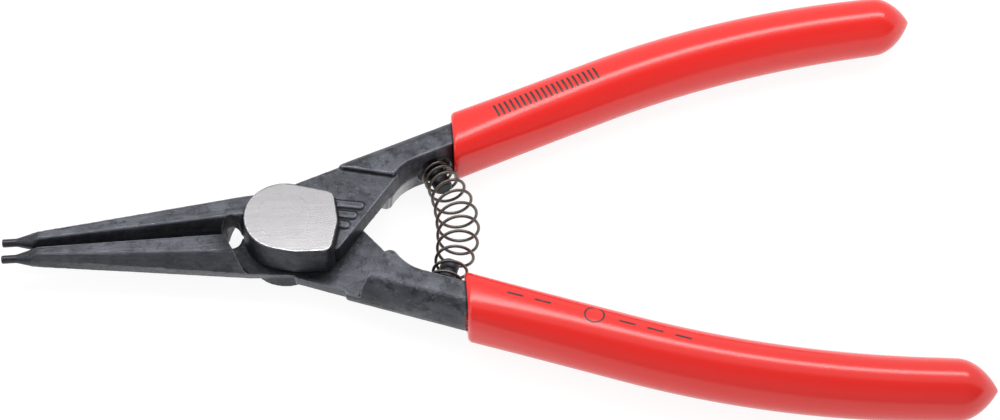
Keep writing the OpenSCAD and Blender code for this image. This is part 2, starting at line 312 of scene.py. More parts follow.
def grain_group():
    """Surface grain: a fine height, light specks on its tops and broad clouds."""
    name = "Surface grain"
    if name in bpy.data.node_groups:
        return bpy.data.node_groups[name]
    tree, ins, out = shader_group(
        name, {"Scale": 900.0, "Stretch": 1.0}, ("Height", "Specks", "Clouds"))
    long_axis = put(tree, "ShaderNodeCombineXYZ", None, {0: ins["Stretch"], 1: 1.0, 2: 1.0}).outputs[0]
    spot = vector_math(tree, "MULTIPLY", 0, object_place(tree), long_axis)
    fine = noise_value(tree, spot, ins["Scale"], detail=4.0, roughness=0.6)
    broad_scale = times(tree, ins["Scale"], CLOUD_SCALE)
    feed(tree, out, {
        "Height": fine,
        "Specks": ramp_value(tree, fine, *SPECK_RANGE),
        "Clouds": noise_value(tree, spot, broad_scale, detail=3.0, roughness=0.55),
    })
    return tree


WEAR_SCALE = 420.0
WEAR_RUN = 0.45
# Edge values over which painted shade fills the hollows
HOLLOW_SHADE_RANGE = (-0.08, -0.5)


def wear_and_shade_group():
    """Rubbed edges, and painted shade in the hollows, from the edge value stored on the mesh."""
    name = "Edge wear"
    if name in bpy.data.node_groups:
        return bpy.data.node_groups[name]
    tree, ins, out = shader_group(name, {"Start": 0.3, "Breakup": 0.5}, ("Rubbed", "Hollow shade"))
    edge = mesh_mask(tree, "edge")
    patchy = noise_value(tree, object_place(tree), WEAR_SCALE, detail=3.0)
    shift = times(tree, math_node(tree, "SUBTRACT", patchy, NOISE_MEAN), ins["Breakup"])
    moved = math_node(tree, "ADD", edge, shift)
    full = math_node(tree, "ADD", ins["Start"], WEAR_RUN)
    feed(tree, out, {
        "Rubbed": ramp_value(tree, moved, ins["Start"], full),
        "Hollow shade": ramp_value(tree, edge, *HOLLOW_SHADE_RANGE),
    })
    return tree


def use_group(tree, group, **values):
    return put(tree, "ShaderNodeGroup", {"node_tree": group}, values).outputs


def use_grain(tree, scale, stretch=1.0):
    return use_group(tree, grain_group(), Scale=scale, Stretch=stretch)


def material(name):
    made = bpy.data.materials.new(name)
    made.use_nodes = True
    return made, made.node_tree, made.node_tree.nodes["Principled BSDF"]


# Steel

# The boss face and the rivet head are ground in one pass
BRUSH_SCALE = 2600.0
BRUSH_STRETCH = 0.06
FACE_SHADES = (0.97, 1.03)
FACE_ROUGH = (0.18, 0.22)
FACE_HEIGHT = 0.05
# Its rim is duller where the edge value lies in this range
FACE_EDGE = (0.04, 0.22)
FACE_EDGE_ROUGH = 0.55
# The forged skin, with patches, streaks along the jaws and turned pins
CLOUD_SHADES = (0.7, 1.25)
PATCH_RANGE = (0.5, 0.36)
PATCH_HEIGHT = 1.6
STREAK_RANGE = (0.42, 0.7)
STREAK_HEIGHT = 1.2
SKIN_ROUGH = (0.38, 0.56)
SKIN_METAL = 0.75
SKIN_BUMP = 0.85
SKIN_RELIEF = 0.09 * MM
TURNED_ROUGH = 0.32
TURNED_SMOOTH = 0.8
# The wall at the trim is bare steel in clouds, lightened as a painted reflection of the floor
TRIM_SHEEN_SHADES = (0.28, 0.68)
TRIM_RANGE = (0.15, 0.5)


def forged_material():
    """Dark phosphated steel, with ground faces, a bare trim lightened as a painted reflection, and
    painted shade on upright walls, in hollows, along the grip's rim and round the boss, where the mesh
    says so.
    """
    look = settings().limb
    made, tree, shader = material("forged_steel")
    grain = use_grain(tree, scale=1500.0)
    patch = use_grain(tree, scale=460.0)
    streak = use_grain(tree, scale=2000.0, stretch=0.045)
    brush = use_grain(tree, BRUSH_SCALE, BRUSH_STRETCH)
    wear_and_shade = use_group(tree, wear_and_shade_group(), Start=0.16, Breakup=0.6)
    edge, ground, trimmed_sheen, jaw, turned, wall_shade, painted_contact_shadow = (
        mesh_mask(tree, name)
        for name in ("edge", "ground", "trimmed_sheen", "jaw", "turned", "wall_shade", "painted_contact_shadow"))

    dark = Vector(look.dark)
    colour = mix_shades(tree, noise_ramp(tree, grain["Clouds"]), dark, CLOUD_SHADES)
    patches = ramp_value(tree, patch["Height"], *PATCH_RANGE)
    streaks = times(tree, ramp_value(tree, streak["Height"], *STREAK_RANGE), jaw)
    # Painted shade: the hollows, the line along the grip's rim and the ring round the boss turn dark
    painted_shade = math_node(tree, "MAXIMUM", wear_and_shade["Hollow shade"], painted_contact_shadow)
    # Each layer has its mask, its strength and its shade as a share of the dark finish
    layers = (
        (patches, 0.8, 0.42),
        (grain["Specks"], 0.5, 2.6),
        (streaks, 0.28, 1.9),
        # Painted shade on the upright walls ahead of the grips
        (wall_shade, 0.65, 0.36),
        (wear_and_shade["Rubbed"], 0.6, 3.2),
        (turned, 0.8, 0.55),
        # Painted shade in hollows and painted contact shadow
        (painted_shade, 0.85, 0.2),
    )
    for mask, strength, shade in layers:
        colour = mix_colour(tree, times(tree, mask, strength), colour, dark * shade)
    bare = Vector(look.bare)
    # Bare steel at the trim, lightened as a painted reflection of the floor
    trim_sheen_mask = times(tree, trimmed_sheen, ramp_value(tree, grain["Clouds"], *TRIM_RANGE))
    colour = mix_colour(tree, trim_sheen_mask, colour, mix_shades(tree, grain["Clouds"], bare, TRIM_SHEEN_SHADES))
    colour = mix_colour(tree, ground, colour, mix_shades(tree, brush["Clouds"], bare, FACE_SHADES))

    skin_rough = noise_ramp(tree, grain["Height"], *SKIN_ROUGH)
    forged_rough = mix_value(tree, turned, skin_rough, TURNED_ROUGH)
    face_rough = noise_ramp(tree, brush["Height"], *FACE_ROUGH)
    rim = ramp_value(tree, edge, *FACE_EDGE)
    bare_rough = mix_value(tree, rim, face_rough, FACE_EDGE_ROUGH)
    bare_mask = math_node(tree, "MAXIMUM", ground, trim_sheen_mask)

    lumps = math_node(tree, "ADD", grain["Height"], times(tree, patch["Height"], PATCH_HEIGHT))
    scored = times(tree, streak["Height"], times(tree, jaw, STREAK_HEIGHT))
    # Off the jaws the skin swings about zero, so that the ground face's border makes no step
    lumps_mean = NOISE_MEAN * (1.0 + PATCH_HEIGHT)
    skin = math_node(tree, "SUBTRACT", math_node(tree, "ADD", lumps, scored), lumps_mean)
    faint = times(tree, brush["Height"], FACE_HEIGHT)
    smooth = math_node(tree, "MAXIMUM", ground, times(tree, turned, TURNED_SMOOTH))
    feed(tree, shader, {
        "Base Color": colour,
        "Roughness": mix_value(tree, bare_mask, forged_rough, bare_rough),
        "Metallic": mix_value(tree, bare_mask, SKIN_METAL, 1.0),
        "Normal": bump(tree, mix_value(tree, smooth, skin, faint), SKIN_BUMP, SKIN_RELIEF),
    })
    return made


def plain_metal(name, tone, shades, rough, metallic, scale, strength, relief, stretch=1.0):
    """A metal whose shade, gloss and relief follow one grain."""
    made, tree, shader = material(name)
    grain = use_grain(tree, scale, stretch)
    feed(tree, shader, {
        "Base Color": mix_shades(tree, grain["Clouds"], tone, shades),
        "Roughness": noise_ramp(tree, grain["Height"], *rough),
        "Metallic": metallic,
        "Normal": bump(tree, grain["Height"], strength, relief),
    })
    return made


def ground_material():
    """The rivet head, ground in one pass with the boss face."""
    return plain_metal(
        "ground_steel", Vector(settings().limb.bare), FACE_SHADES, FACE_ROUGH, metallic=1.0,
        scale=BRUSH_SCALE, strength=0.05, relief=0.06 * MM, stretch=BRUSH_STRETCH)


def peg_material():
    """Pegs a little darker than the limbs."""
    return plain_metal(
        "peg_steel", Vector(settings().limb.dark), shades=(0.3, 0.65), rough=(0.35, 0.5),
        metallic=0.85, scale=2200.0, strength=0.3, relief=0.04 * MM)


def wire_material():
    """Drawn spring wire, brownish and a little patchy."""
    return plain_metal(
        "spring_wire", Vector(settings().spring.colour), shades=(0.6, 1.35), rough=(0.26, 0.44),
        metallic=1.0, scale=3000.0, strength=0.2, relief=0.03 * MM)


# Dipped plastic and its print

# Printed marks, measured along and across the arm from the middle of the rim
TICK_START = 8.8 * MM
TICK_END = 31.4 * MM
TICK_PITCH = 1.13 * MM
TICK_LOW = -1.1 * MM
TICK_HIGH = 1.8 * MM
# The inked share of each pitch and its soft border
TICK_INK = (0.2, 0.62)
TICK_SOFT = 0.06
RING_ALONG = 23.6 * MM
RING_ACROSS = -1.6 * MM
RING_RADIUS = 1.75 * MM
RING_LINE = 0.16 * MM
RING_GAP = 0.55 * MM
# Start and end of each dash in millimetres
DASHES = ((7.2, 10.2), (12.4, 15.4), (28.2, 31.2), (33.4, 36.4), (38.6, 41.6))
DASH_HALF = 0.2 * MM
INK_SOFT = 0.05 * MM
INK_ROUGH = 0.4
# The print lies on the side that is seen, and wears off in the grain's low spots
PRINT_FADE = 2.0 * MM
PRINT_WEAR = (0.25, 0.45, 0.75, 1.0)
COAT_ROUGH = 0.21
COAT_SPECULAR = 0.7


def handle_place(tree, side):
    """Distance along the arm from the rim, across it and above the middle plane."""
    grip = settings().grip
    turned = put(tree, "ShaderNodeMapping", {"vector_type": "TEXTURE"}, {
        "Vector": object_place(tree),
        "Location": (RIM_X, side * grip.rim_y, MID_Z),
        "Rotation": (0.0, 0.0, side * grip.arm_angle),
    }).outputs[0]
    axes = put(tree, "ShaderNodeSeparateXYZ", None, {0: turned}).outputs
    return axes[0], times(tree, axes[1], side), axes[2]


def between(tree, value, low, high, soft=INK_SOFT):
    """One between two values and zero outside, with soft borders."""
    up = ramp_value(tree, value, low - soft, low + soft)
    down = ramp_value(tree, value, high + soft, high - soft)
    return times(tree, up, down)


def tick_print(tree, along, across):
    """A plain row of thin lines."""
    phase = math_node(tree, "FRACT", math_node(tree, "DIVIDE", along, TICK_PITCH))
    lines = between(tree, phase, *TICK_INK, TICK_SOFT)
    run = between(tree, along, TICK_START, TICK_END)
    row = between(tree, across, TICK_LOW, TICK_HIGH)
    return times(tree, lines, times(tree, run, row))


def ring_print(tree, along, across):
    """An open ring with plain dashes on both sides."""
    x = math_node(tree, "SUBTRACT", along, RING_ALONG)
    y = math_node(tree, "SUBTRACT", across, RING_ACROSS)
    spot = put(tree, "ShaderNodeCombineXYZ", None, {0: x, 1: y}).outputs[0]
    away = vector_math(tree, "LENGTH", "Value", spot)
    band = between(tree, away, RING_RADIUS - RING_LINE, RING_RADIUS + RING_LINE)
    below = ramp_value(tree, y, 0.0, -2 * INK_SOFT)
    gap = times(tree, between(tree, x, -RING_GAP, RING_GAP), below)
    mask = times(tree, band, math_node(tree, "SUBTRACT", 1.0, gap))
    row = between(tree, y, -DASH_HALF, DASH_HALF)
    for start, end in DASHES:
        dash = times(tree, between(tree, along, start * MM, end * MM), row)
        mask = math_node(tree, "MAXIMUM", mask, dash)
    return mask


def grip_material(name, side):
    """Glossy soft plastic with a faint dip texture and a few printed marks."""
    look = settings().grip
    made, tree, shader = material(f"dipped_plastic_{name}")
    grain = use_grain(tree, scale=700.0)
    along, across, height = handle_place(tree, side)
    draw = tick_print if side > 0 else ring_print
    top = ramp_value(tree, height, 0.0, PRINT_FADE)
    patchy = ramp_value(tree, grain["Height"], *PRINT_WEAR)
    ink_mask = times(tree, times(tree, draw(tree, along, across), top), patchy)
    feed(tree, shader, {
        "Base Color": mix_colour(tree, ink_mask, look.colour, look.ink),
        "Roughness": mix_value(tree, ink_mask, COAT_ROUGH, INK_ROUGH),
        "Specular IOR Level": COAT_SPECULAR,
        "Normal": bump(tree, grain["Height"], strength=0.06, distance=0.03 * MM),
    })
    return made


# Mesh building blocks

def add_object(name, data):
    made = bpy.data.objects.new(name, data)
    bpy.context.scene.collection.objects.link(made)
    return made


def dress(mesh, look):
    mesh.materials.clear()
    mesh.materials.append(look)


def new_piece(name, points, faces, look):
    mesh = bpy.data.meshes.new(name)
    mesh.from_pydata([tuple(p) for p in points], [], faces)
    mesh.validate()
    mesh.shade_smooth()
    dress(mesh, look)
    return add_object(name, mesh)


def full_turn(count):
    """Equal angles once round."""
    return [2.0 * math.pi * i / count for i in range(count)]


def ring_faces(count, around, flip=False):
    """Quads that join rings of points laid out one after the other."""
    faces = []
    for j in range(count - 1):
        for i in range(around):
            a = j * around + i
            b = j * around + (i + 1) % around
            quad = (a, b, b + around, a + around)
            faces.append(quad[::-1] if flip else quad)
    return faces


def revolve(name, profile, sides=96):
    """A closed turned solid about the rivet axis, from (radius, height) pairs."""
    points = [(r * math.cos(a), r * math.sin(a), z) for r, z in profile for a in full_turn(sides)]
    faces = ring_faces(len(profile), sides)
    last = (len(profile) - 1) * sides
    faces.append(tuple(range(sides))[::-1])
    faces.append(tuple(range(last, last + sides)))
    mesh = bpy.data.meshes.new(name)
    mesh.from_pydata(points, [], faces)
    return add_object(name, mesh)


def evaluated(piece):
    """A copy of the mesh with the piece's modifiers applied."""
    view = bpy.context.evaluated_depsgraph_get()
    return bpy.data.meshes.new_from_object(piece.evaluated_get(view))


def rows(items, name, width, kind=float):
    """One property of every point or edge, as rows of numbers."""
    flat = np.empty(len(items) * width, kind)
    items.foreach_get(name, flat)
    return flat.reshape(-1, width)


def mesh_points(mesh):
    return rows(mesh.vertices, "co", 3)


def mesh_normals(mesh):
    return rows(mesh.vertices, "normal", 3)


def mesh_ties(mesh):
    return rows(mesh.edges, "vertices", 2, np.int64)


def set_mask(mesh, name, values):
    layer = mesh.attributes.new(name, "FLOAT", "POINT")
    layer.data.foreach_set("value", np.asarray(values, np.float32))


def smooth_step(values, low, high):
    t = np.clip((values - low) / (high - low), 0.0, 1.0)
    return t * t * (3.0 - 2.0 * t)


def spread(mesh, values, passes, weights=1.0):
    """Moves the value at each point toward the middle of its neighbours' values."""
    a, b = mesh_ties(mesh).T
    count = len(values)
    degree = np.bincount(a, minlength=count) + np.bincount(b, minlength=count)
    step = np.broadcast_to(0.5 * np.asarray(weights), count)[:, None]
    moved = values.copy()
    for _ in range(passes):
        total = np.empty_like(moved)
        for axis in range(3):
            to_a = np.bincount(a, moved[b, axis], count)
            to_b = np.bincount(b, moved[a, axis], count)
            total[:, axis] = to_a + to_b
        moved += step * (total / degree[:, None] - moved)
    return moved


# Limbs

RIVET_RADIUS = 3.5 * MM
HEAD_RADIUS = 5.0 * MM
HEAD_DEPTH = 1.6 * MM
HAIRLINE = 0.008 * MM
CUT_BEYOND = 1.0 * MM
PLUG_OVER = 0.4 * MM
LAP_GAP = 0.1 * MM
WELD = 0.0005 * MM
SAME_RADIUS = 0.01 * MM
# The forging grid stands askew, so that no straight edge runs along it in steps
GRID_TURN = Euler((0.31, 0.43, 0.57)).to_matrix().to_4x4()
# The turned pin starts this far ahead of the rivet; its form and finish fade in over short runs
PIN_ROOT = 46.8 * MM
PIN_CRISP = 1.5 * MM
PIN_TURNED = 2.5 * MM
# Depths below the boss face between which its rim turns crisp
FACE_CRISP = (0.7 * MM, 0.3 * MM)
CRISP_HOLD = 0.75
# Heights from the middle plane between which the lap face gives way to forged skin
LAP_SKIN = (0.1 * MM, 0.3 * MM)
# Scale, fall of strength, step of scale and number of layers of the uneven skin
SKIN_NOISE = (450.0, 0.7, 2.1, 4)
# A point this close to the boss face, and facing this squarely, is ground flat
GRIND = 0.06 * MM
GRIND_NORMAL = 0.9


def rivet_cutter():
    """The rivet's outline with a hairline round it, for the bore of the visible limb."""
    shank = RIVET_RADIUS + HAIRLINE
    head = HEAD_RADIUS + HAIRLINE
    return revolve("rivet_cutter", [
        (head, -CUT_BEYOND), (head, 0.0), (shank, HEAD_DEPTH),
        (shank, FACE_Z - HEAD_DEPTH), (head, FACE_Z), (head, FACE_Z + CUT_BEYOND)])


def rivet_plug(side):
    """Fills a limb's bore, so that the forging grid meets a whole boss."""
    low = MID_Z + LAP_GAP / 2 if side > 0 else 0.0
    high = low + (FACE_Z - LAP_GAP) / 2
    radius = HEAD_RADIUS + PLUG_OVER
    return revolve("rivet_plug", [(radius, low), (radius, high)])


def filled_solid(node, side):
    """A copy of the node's solid with its seams welded and its bore filled."""
    mesh = frame["nodes"][node].data.copy()
    plug = rivet_plug(side)
    work = bmesh.new()
    work.from_mesh(mesh)
    bmesh.ops.remove_doubles(work, verts=work.verts, dist=WELD)
    work.from_mesh(plug.data)
    work.to_mesh(mesh)
    work.free()
    bpy.data.objects.remove(plug)
    return add_object(f"{node}_work", mesh)


def gridded(node, side):
    """The limb's solid on the forging grid."""
    work = filled_solid(node, side)
    work.data.transform(GRID_TURN)
    grid = work.modifiers.new("forging", "REMESH")
    grid.mode = "VOXEL"
    grid.voxel_size = settings().limb.voxel
    mesh = evaluated(work)
    bpy.data.objects.remove(work)
    mesh.transform(GRID_TURN.inverted())
    mesh.update()
    return mesh


def forged_mesh(node, side):
    """The limb with rounded edges, an uneven skin and a flat boss face."""
    tune = settings().limb
    mesh = gridded(node, side)
    points = mesh_points(mesh)
    normals = mesh_normals(mesh)
    up = (points[:, 2] - MID_Z) * side
    start, full = FACE_CRISP
    crisp_pin = smooth_step(-points[:, 0], PIN_ROOT, PIN_ROOT + PIN_CRISP)
    crisp_face = smooth_step(up, FACE_UP - start, FACE_UP - full)
    crisp = np.maximum(crisp_pin, crisp_face)
    moved = spread(mesh, points, tune.passes, 1.0 - CRISP_HOLD * crisp)
    edge = np.einsum("ij,ij->i", points - moved, normals) / (0.5 * tune.voxel)
    set_mask(mesh, "edge", np.clip(edge, -1.0, 1.0))

    scale, fall, step, layers = SKIN_NOISE
    depth = np.array([noise.fractal(Vector(p) * scale, fall, step, layers) for p in moved])
    rough = (1.0 - crisp) * smooth_step(np.abs(up), *LAP_SKIN)
    moved += normals * (rough * depth * tune.scale_depth)[:, None]
    close = (moved[:, 2] - MID_Z) * side > FACE_UP - GRIND
    ground = (normals[:, 2] * side > GRIND_NORMAL) & close
    moved[ground, 2] = MID_Z + side * FACE_UP
    mesh.vertices.foreach_set("co", moved.ravel())
    mesh.update()
    return mesh


def crisp_bore(mesh):
    """Keeps the shading of the ground face flat up to the bore."""
    points = mesh_points(mesh)
    off_edge = np.abs(np.hypot(points[:, 0], points[:, 1]) - HEAD_RADIUS - HAIRLINE)
    on_rim = off_edge < SAME_RADIUS
    sharp = on_rim[mesh_ties(mesh)].all(axis=1)
    layer = mesh.attributes.get("sharp_edge") or mesh.attributes.new("sharp_edge", "BOOLEAN", "EDGE")
    layer.data.foreach_set("value", sharp)


def drill(piece):
    """Cuts the rivet's bore through a forging."""
    cutter = rivet_cutter()
    bore = piece.modifiers.new("bore", "BOOLEAN")
    bore.operation = "DIFFERENCE"
    bore.object = cutter
    bore.solver = "EXACT"
    drilled = evaluated(piece)
    piece.modifiers.clear()
    piece.data = drilled
    bpy.data.objects.remove(cutter)
    drilled.shade_smooth()
    crisp_bore(drilled)


# Where each finish or painted shade of a limb starts and is full: parts of a normal, or lengths
FACE_DEPTH = (0.16 * MM, 0.048 * MM)
FACE_NORMAL = (0.85, 0.97)
JAW_AHEAD = (4 * MM, 9 * MM)
# Painted shade on upright walls ahead of the grips
WALL_SLOPE = (0.35, 0.75)
WALL_AHEAD = (-22 * MM, -15 * MM)
# Painted shadow on the arm along the grip's rim
RIM_SHADOW_BEHIND = (-0.5 * MM, -0.15 * MM)
# Painted contact shadow on the lap face round the boss
LAP_NORMAL = (0.5, 0.9)
SHADOW_RING = (15.5 * MM, 11.5 * MM)
# Bare steel at the trim, lightened as a painted reflection of the floor
TRIM_NORMAL = (0.25, 0.6)
TRIM_UP = (0.4 * MM, -0.5 * MM)
TRIM_BACK = (11 * MM, 13 * MM)
TRIM_END = (26 * MM, 22 * MM)
TRIM_ACROSS = (0.5 * MM, 1.5 * MM)
MASK_PASSES = 3


def limb_masks(mesh, side):
    """Stores where the steel is ground, scored or turned, where the trim is bare and lightened as a
    painted reflection, and where shade is painted on upright walls, along the grip's rim and round the
    boss.
    """
    points = mesh_points(mesh)
    normals = spread(mesh, mesh_normals(mesh), MASK_PASSES)
    back = points[:, 0]
    across = points[:, 1] * side
    up = (points[:, 2] - MID_Z) * side
    face = smooth_step(FACE_UP - up, *FACE_DEPTH)
    set_mask(mesh, "ground", face * smooth_step(normals[:, 2] * side, *FACE_NORMAL))
    set_mask(mesh, "jaw", smooth_step(-back, *JAW_AHEAD))
    set_mask(mesh, "turned", smooth_step(-back, PIN_ROOT - PIN_TURNED, PIN_ROOT))
    # Painted shade on the upright walls ahead of the grips
    wall = smooth_step(1.0 - np.abs(normals[:, 2]), *WALL_SLOPE)
    set_mask(mesh, "wall_shade", wall * smooth_step(-back, *WALL_AHEAD))
    # Painted shadow where the coat meets the arm
    rim_shadow = smooth_step(back - RIM_X, *RIM_SHADOW_BEHIND)
    # Painted contact shadow on the lap face next to the boss
    lapped = smooth_step(-normals[:, 2] * side, *LAP_NORMAL)
    shadow_ring = lapped * smooth_step(np.hypot(points[:, 0], points[:, 1]), *SHADOW_RING)
    set_mask(mesh, "painted_contact_shadow", np.maximum(rim_shadow, shadow_ring))
    # Bare steel at the trim, lightened as a painted reflection of the floor
    inward = smooth_step(-normals[:, 1] * side, *TRIM_NORMAL)
    low = smooth_step(up, *TRIM_UP)
    reach = smooth_step(back, *TRIM_BACK) * smooth_step(back, *TRIM_END)
    near = smooth_step(across, *TRIM_ACROSS)
    set_mask(mesh, "trimmed_sheen", inward * low * reach * near)


def make_limb(name, look):
    body, side = SIDES[name]
    node = f"{name}_limb"
    piece = add_object(f"{node}_forging", forged_mesh(node, side))
    drill(piece)
    dress(piece.data, look)
    limb_masks(piece.data, side)
    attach(piece, body)
    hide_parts(node)


# Grips

GRIP_SIDES = 72
GRIP_FALL = 0.075
# The rim is rounded and square to the long axis; behind it the rings turn square to the arm
RIM_ROUND = 0.9 * MM
RIM_TUCK = 0.07
RIM_FADE = 14.0 * MM
RIM_STEPS = (0.0, 0.12, 0.28, 0.5, 0.75, 1.0)
BODY_STEPS = 70
# The end is drawn out to a point, with rings that crowd toward it
END_RUN = 7.6 * MM
END_POINT = 0.88
END_LEAST = 0.0002
END_STEPS = 26
END_CROWD = 1.6
# The section is more square at the rim than an ellipse
SQUARE_MORE = 0.9
SQUARE_FADE = 14.0 * MM
# The arm's section, measured outward from its middle line
CREASE_OUT = 1.0 * MM
RIDGE_OUT = 3.9 * MM
EDGE_IN = -2.45 * MM
DRAFT_IN = 0.9 * MM
HALF_ARM = 5.0 * MM
BACK_ANGLES = range(-90, 91, 10)
# The tang inside the coat
TANG_TAPER = 0.4
TANG_SHORT = 16.0 * MM
TANG_LIP = 1.0 * MM
TANG_STRAIGHT = 4.0 * MM
TANG_STEPS = 12
COAT_GAP = 0.05 * MM
# Slack of the ray test, far below any size here
PARALLEL = 1e-12
TOUCH = 1e-9


def share(value, least=0.0):
    """The value held between a least share and the whole."""
    return min(max(value, least), 1.0)


def line_at(s):
    """Point and lean of the handle's middle line at a distance behind the rim."""
    grip = settings().grip
    lean = np.array([math.cos(grip.arm_angle), math.sin(grip.arm_angle)])
    start = np.array([RIM_X, grip.rim_y])
    if s <= grip.straight:
        return start + s * lean, grip.arm_angle
    bend_end = grip.straight + grip.bend_radius * (grip.arm_angle - grip.end_angle)
    angle = max(grip.arm_angle - (s - grip.straight) / grip.bend_radius, grip.end_angle)
    turn = np.array([
        math.sin(grip.arm_angle) - math.sin(angle), math.cos(angle) - math.cos(grip.arm_angle)])
    point = start + grip.straight * lean + grip.bend_radius * turn
    if s > bend_end:
        point = point + (s - bend_end) * np.array([math.cos(angle), math.sin(angle)])
    return point, angle


def on_line(s, across, height):
    point, angle = line_at(s)
    return (point[0] - across * math.sin(angle), point[1] + across * math.cos(angle), height)


def dipped(s, across):
    """The dip line is square to the long axis, so points near the rim slide along the arm."""
    fade = 1.0 - share(s / RIM_FADE)
    return s + across * math.tan(settings().grip.arm_angle) * fade * fade


def grip_scale(s):
    """The section's size along the grip: slimmer at both ends, tucked in at the rim, pointed behind."""
    length = settings().grip.length
    full = 1.0 - GRIP_FALL * (2.0 * s / length - 1.0) ** 2
    rim = 1.0 - RIM_TUCK * (1.0 - share(s / RIM_ROUND)) ** 2
    d = share((length - s) / END_RUN, END_LEAST)
    return full * rim * (1.0 - (1.0 - d) ** 2) ** END_POINT


def section_power(s):
    """The coat follows the flat arm at the rim and grows rounder behind it."""
    return 2.0 + SQUARE_MORE * math.exp(-s / SQUARE_FADE)


def grip_ring(s):
    grip = settings().grip
    k = grip_scale(s)
    power = 2.0 / section_power(s)
    ring = []
    for a in full_turn(GRIP_SIDES):
        c, h = math.cos(a), math.sin(a)
        across = grip.width / 2 * k * math.copysign(abs(c) ** power, c)
        height = grip.thickness / 2 * k * math.copysign(abs(h) ** power, h)
        ring.append(on_line(dipped(s, across), across, height))
    return ring


def grip_steps():
    """Distances behind the rim at which the coat's rings stand."""
    length = settings().grip.length
    body_run = length - END_RUN - RIM_ROUND
    rim = [RIM_ROUND * t for t in RIM_STEPS]
    body = [RIM_ROUND + body_run * i / BODY_STEPS for i in range(1, BODY_STEPS + 1)]
    end = [length - END_RUN * (1 - i / END_STEPS) ** END_CROWD for i in range(1, END_STEPS + 1)]
    return rim + body + end


def tang_end():
    return settings().grip.length - TANG_SHORT


def tang_steps():
    """Distances behind the rim at which the rings of the coat's inside stand."""
    run = tang_end() - TANG_STRAIGHT
    taper = [TANG_STRAIGHT + run * i / TANG_STEPS for i in range(1, TANG_STEPS + 1)]
    return [0.0, TANG_LIP, TANG_STRAIGHT] + taper


def ray_hit(corners, dx, dy):
    """Where a ray from the middle leaves a closed outline."""
    best = 0.0
    for (x0, y0), (x1, y1) in zip(corners, corners[1:] + corners[:1]):
        ex, ey = x1 - x0, y1 - y0
        cross = dx * ey - dy * ex
        if abs(cross) < PARALLEL:
            continue
        t = (x0 * ey - y0 * ex) / cross
        u = (x0 * dy - y0 * dx) / cross
        if t > best and -TOUCH <= u <= 1.0 + TOUCH:
            best = t
    return best * dx, best * dy


def tang_ring(s, grow):
    """The arm's section, with flat sides, a round back and a ridge on the inner wall."""
    k = 1.0 - TANG_TAPER * share((s - TANG_STRAIGHT) / (tang_end() - TANG_STRAIGHT))
    half = HALF_ARM * k + grow
    inner = EDGE_IN * k - grow
    crease = CREASE_OUT * k
    back = (RIDGE_OUT - CREASE_OUT) * k + grow
    ridge = inner - DRAFT_IN * k
    turns = [math.radians(a) for a in BACK_ANGLES]
    corners = [(crease + back * math.cos(a), half * math.sin(a)) for a in turns]
    corners += [(inner, half), (ridge, 0.0), (inner, -half)]
    return [ray_hit(corners, math.cos(a), math.sin(a)) for a in full_turn(GRIP_SIDES)]


def make_grip(name, look):
    body, side = SIDES[name]
    node = f"{name}_grip"
    outer = [grip_ring(s) for s in grip_steps()]
    inner = []
    for s in tang_steps():
        section = tang_ring(s, COAT_GAP)
        inner.append([on_line(dipped(s, v) if s == 0.0 else s, v, h) for v, h in section])
    rings = outer[::-1] + inner
    points = [p for ring in rings for p in ring]
    points += [tuple(np.mean(outer[-1], 0)), tuple(np.mean(inner[-1], 0))]
    faces = ring_faces(len(rings), GRIP_SIDES)
    tip = len(points) - 2
    last = (len(rings) - 1) * GRIP_SIDES
    for i in range(GRIP_SIDES):
        j = (i + 1) % GRIP_SIDES
        faces.append((j, i, tip))
        faces.append((last + i, last + j, tip + 1))
    placed = [(x, y * side, MID_Z + z * side) for x, y, z in points]
    piece = new_piece(f"{node}_coat", placed, faces, look)
    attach(piece, body)
    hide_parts(node)


# Spring

WIRE_SIDES = 12
TURN_STEPS = 36
# A share of a turn, short enough to give the wire's direction
NEARBY = 0.01
SEAT_DEPTH = 0.8 * MM
SEAT_PLAY = 0.06 * MM
CLOSED_PLAY = 0.2 * MM
PEG_SHIFT = 0.7 * MM
COIL_TURN = math.radians(36.0)
BELLY_POWER = 1.3


